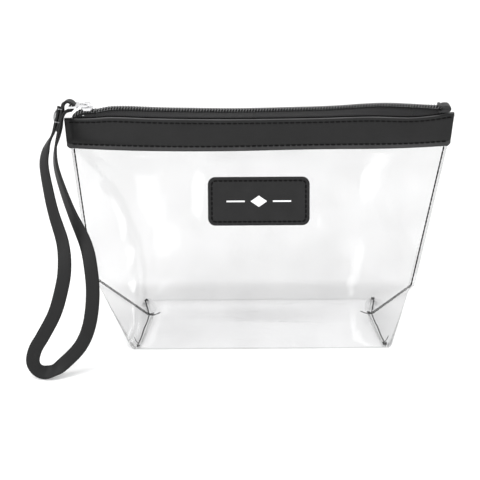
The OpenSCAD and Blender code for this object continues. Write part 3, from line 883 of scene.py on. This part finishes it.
def end_tab():
    """A strip of the band's leather folded over the end of the chain."""
    t, h, left, right = 0.9, 4.4, 106.6, 114.4
    centre = right - h / 2
    outer = [(left, h / 2 - 0.25), (left + 0.8, h / 2 + 0.1), (left + 1.8, h / 2 - 0.1)]
    outer += [(left + 2.4, h / 2 - 0.6)]
    outer += [(left + 3.0, h / 2 - 0.1), (left + 4.4, h / 2 + 0.0)]
    round_end = [math.pi * k / 10 for k in range(11)]
    outer += [(centre + h / 2 * math.sin(a), h / 2 * math.cos(a)) for a in round_end]
    outer += [(left + 4.4, -h / 2), (left + 2.4, -h / 2), (left, -h / 2 + 0.05)]
    r, chain_end = h / 2 - t, 108.4
    lower = [(left, -r), (chain_end, -r), (chain_end + 0.9, -0.12), (right - 1.4, -0.05)]
    inner = lower + [(x, -z) for x, z in lower[::-1]]
    rings = []
    for k in range(15):
        y = mix(-4.2, 4.2, k / 14)
        shrink = 1 - 0.05 * abs(y / 4.2) ** 6
        rings.append([(mix(centre, x, shrink), y, COIL_Z + 0.6 + z * shrink) for x, z in outer + inner])
    body = Build()
    body.skin(rings)
    piece = bevel(body.make("zip_end_cover", EDGE), 0.2, 2, 50)
    lay(piece, "zip_end_tab", "bag")


end_tab()

for node, finish, width in (
    ("slider_body", NICKEL, 0.28),
    ("slider_crown", NICKEL, 0.3),
    ("zip_pull", NICKEL, 0.3),
    ("slider_lock_spring", SPRING, 0.06),
    ("label_ornament", FOIL, 0.03),
):
    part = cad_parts[node]
    part.data.materials.clear()
    part.data.materials.append(finish)
    bevel(part, width, 3, 30)

# ---- Strap ---------------------------------------------------------------------------------------

STRAP_W, STRAP_T = 8.0, 1.5
ROUTE = [
    ((-120.4, -3.6, 144.6), (0, -0.9, 0.43)),
    ((-121.2, -5.5, 139.9), (0, -0.9, 0.43)),
    ((-122.4, -8, 135.2), (0, -0.9, 0.43)),
    ((-124.2, -11, 129.8), (0.15, -0.9, 0.43)),
    ((-126.9, -14, 125), (0.4, -0.8, 0.4)),
    ((-128.4, -17.5, 120.5), (0.6, -0.7, 0.3)),
    ((-128.6, -24, 114), (0.66, -0.68, 0.3)),
    ((-125.7, -33, 102.5), (0.72, -0.63, 0.25)),
    ((-121.8, -43, 91), (0.78, -0.58, 0.2)),
    ((-115.8, -54, 76), (0.92, -0.35, 0.1)),
    ((-114.7, -61, 62.5), (1, 0, 0)),
    ((-116.7, -66, 51), (1, 0, 0)),
    ((-120.7, -70, 38.5), (1, 0, 0)),
    ((-127.4, -73.5, 26.5), (1, 0, 0)),
    ((-132, -75, 19), (1, 0, 0)),
    ((-134.1, -75.5, 11.5), (1, 0, 0.1)),
    ((-132.4, -76, 6.4), (0.85, 0.05, 0.5)),
    ((-128, -76.5, 4.2), (0.4, 0.35, 0.85)),
    ((-122.1, -76, 5.2), (-0.2, 0.8, 0.5)),
    ((-116.5, -75, 8.8), (-0.5, 0.4, 0.75)),
    ((-106.3, -72.5, 19), (-0.85, 0.2, 0.5)),
    ((-100.9, -69, 31), (-1, 0, 0.2)),
    ((-98.7, -64, 47), (-1, 0, 0)),
    ((-99.7, -58, 61.5), (-1, 0, 0)),
    ((-102.9, -51, 74.5), (-0.95, 0.3, -0.1)),
    ((-111.1, -41, 89.5), (-0.66, 0.68, -0.3)),
    ((-117.4, -31, 102), (-0.5, 0.8, -0.35)),
    ((-121.8, -22, 113), (-0.35, 0.85, -0.4)),
    ((-122.6, -15.5, 121.7), (-0.2, 0.88, -0.43)),
    ((-121, -11, 128.4), (0, 0.9, -0.43)),
    ((-119.6, -8.6, 133.6), (0, 0.9, -0.43)),
    ((-119, -6.4, 137.7), (0, 0.93, -0.35)),
    ((-117.4, -3.1, 140.4), (0, 0.98, -0.2)),
    ((-114.8, -0.5, 141.5), (0, 1, 0)),
    ((-112.6, 0, 143), (0, 1, 0)),
    ((-112.3, 0, 145.2), (0, 1, 0)),
    ((-114.2, -0.2, 146.6), (0, 1, 0)),
    ((-116.4, -0.9, 146.6), (0, 1, -0.1)),
    ((-118.1, -2.2, 145.2), (0, 0.95, -0.3)),
    ((-118.7, -4, 142.6), (0, 0.9, -0.43)),
    ((-119.3, -5.6, 139.4), (0, 0.9, -0.43)),
    ((-120.4, -8, 134.9), (0, 0.9, -0.43)),
    ((-121.5, -10, 130.8), (0, 0.9, -0.43)),
]


def strap():
    fill = 5
    centre = smooth_path([p for p, _ in ROUTE], fill)
    wide = smooth_path([w for _, w in ROUTE], fill)
    half_w, half_t, r = STRAP_W / 2, STRAP_T / 2, 0.45
    outline = []
    for sx, sy, start in ((1, 1, 0), (-1, 1, 90), (-1, -1, 180), (1, -1, 270)):
        for k in range(3):
            a = math.radians(start + 45 * k)
            outline.append((sx * (half_w - r) + r * math.cos(a), sy * (half_t - r) + r * math.sin(a)))
        if sx == sy:
            outline.extend((sx * half_w * f, sy * half_t * 1.03) for f in (0.45, 0, -0.45))
    rings = []
    for i, p in enumerate(centre):
        t = (centre[min(i + 1, len(centre) - 1)] - centre[max(i - 1, 0)]).normalized()
        w = (wide[i] - wide[i].dot(t) * t).normalized()
        n = t.cross(w).normalized()
        rings.append([p + w * a + n * b for a, b in outline])
    body = Build()
    body.skin(rings)
    piece = body.make("wrist_strap_cover", STRAP)
    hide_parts("wrist_strap")
    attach(piece, "strap")
    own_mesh(piece)


def strap_clip():
    """A bowed steel plate beside the strap's layers, held by a narrow arm round them at each end."""
    t, w, h, reach = 0.5, STRAP_W + 0.3, 8.6, 3.8
    place = Matrix.Translation((-119.9, -6.1, 138.6)) @ Matrix.Rotation(math.radians(13), 4, "Y")
    place = place @ Matrix.Rotation(math.radians(-25.5), 4, "X") @ Matrix.Translation((-3.35, 0, 0))
    body = Build()
    rings = []
    for k in range(17):
        z = mix(-h / 2, h / 2, k / 16)
        bow = 1.3 * (2 * k / 16 - 1) ** 2 - 0.5
        loop = [(0, -w / 2), (0, w / 2), (t, w / 2), (t, -w / 2)]
        rings.append([place @ Vector((x + bow, y, z)) for x, y in loop])
    body.skin(rings)
    arm = 0.6
    for side in (-1, 1):
        for end in (-1, 1):
            rings = []
            for k in range(9):
                a = k / 8
                x = mix(0.8, reach, ease(0, 1, a) * 0.5 + a * 0.5)
                y = side * (w / 2 + t * 0.5 - 0.5 * (1 - ease(0, 0.35, a)))
                z = end * (h / 2 - arm / 2)
                corners = ((-1, -1), (1, -1), (1, 1), (-1, 1))
                rings.append([place @ Vector((x, y + dy * t / 2, z + dz * arm / 2)) for dy, dz in corners])
            body.skin(rings)
    piece = bevel(body.make("strap_clip_bent", CLIP_STEEL), 0.1, 2, 40)
    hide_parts("strap_clip")
    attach(piece, "strap")
    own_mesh(piece)


strap()
strap_clip()

# ---- Floor and light -----------------------------------------------------------------------------


def area_light(name, place, aim, size, power):
    data = bpy.data.lights.new(name, "AREA")
    data.shape, data.size, data.size_y, data.energy = "RECTANGLE", size[0], size[1], power
    light = bpy.data.objects.new(name, data)
    light.location = place
    light.rotation_euler = (Vector(aim) - Vector(place)).to_track_quat("-Z", "Y").to_euler()
    bpy.context.scene.collection.objects.link(light)


def surroundings():
    bpy.ops.mesh.primitive_plane_add(size=30, location=(0, 0, 0))
    floor = bpy.context.object
    floor.name = "floor"
    floor.data.materials.append(paper())
    world = bpy.data.worlds.new("studio")
    bpy.context.scene.world = world
    world.use_nodes = True
    tree = world.node_tree
    back = tree.nodes["Background"]
    sky = tree.nodes.new("ShaderNodeTexCoord").outputs["Generated"]
    split = tree.nodes.new("ShaderNodeSeparateXYZ")
    tree.links.new(sky, split.inputs[0])
    ramp = tree.nodes.new("ShaderNodeValToRGB")
    tree.links.new(split.outputs["Z"], ramp.inputs["Fac"])
    for element, (at, shade) in zip(ramp.color_ramp.elements, ((0.0, 0.98), (0.45, 0.86))):
        element.position = at
        element.color = (shade, shade, shade, 1)
    tree.links.new(ramp.outputs["Color"], back.inputs["Color"])
    back.inputs["Strength"].default_value = 1.14
    soft = bpy.data.lights.new("soft_sun", "SUN")
    soft.energy, soft.angle = 0.4, math.radians(90)
    sun = bpy.data.objects.new("soft_sun", soft)
    sun.rotation_euler = (math.radians(25), math.radians(-18), 0)
    bpy.context.scene.collection.objects.link(sun)
    area_light("key", (-0.5, -0.55, 0.8), (0, 0, 0.06), (0.4, 0.3), 1.6)
    area_light("strip_left", (-0.5, -0.4, 0.28), (-0.05, 0, 0.1), (0.08, 0.5), 0.6)
    area_light("strip_front_left", (-0.36, -0.95, 0.42), (0, 0, 0.08), (0.16, 0.5), 0.5)
    area_light("strip_front_right", (0.42, -0.95, 0.4), (0, 0, 0.08), (0.14, 0.5), 0.55)
    area_light("top", (0.0, -0.3, 0.9), (0, 0, 0.12), (0.7, 0.08), 2.4)


surroundings()
bpy.context.scene.view_settings.view_transform = "Standard"
bpy.context.scene.view_settings.look = "None"
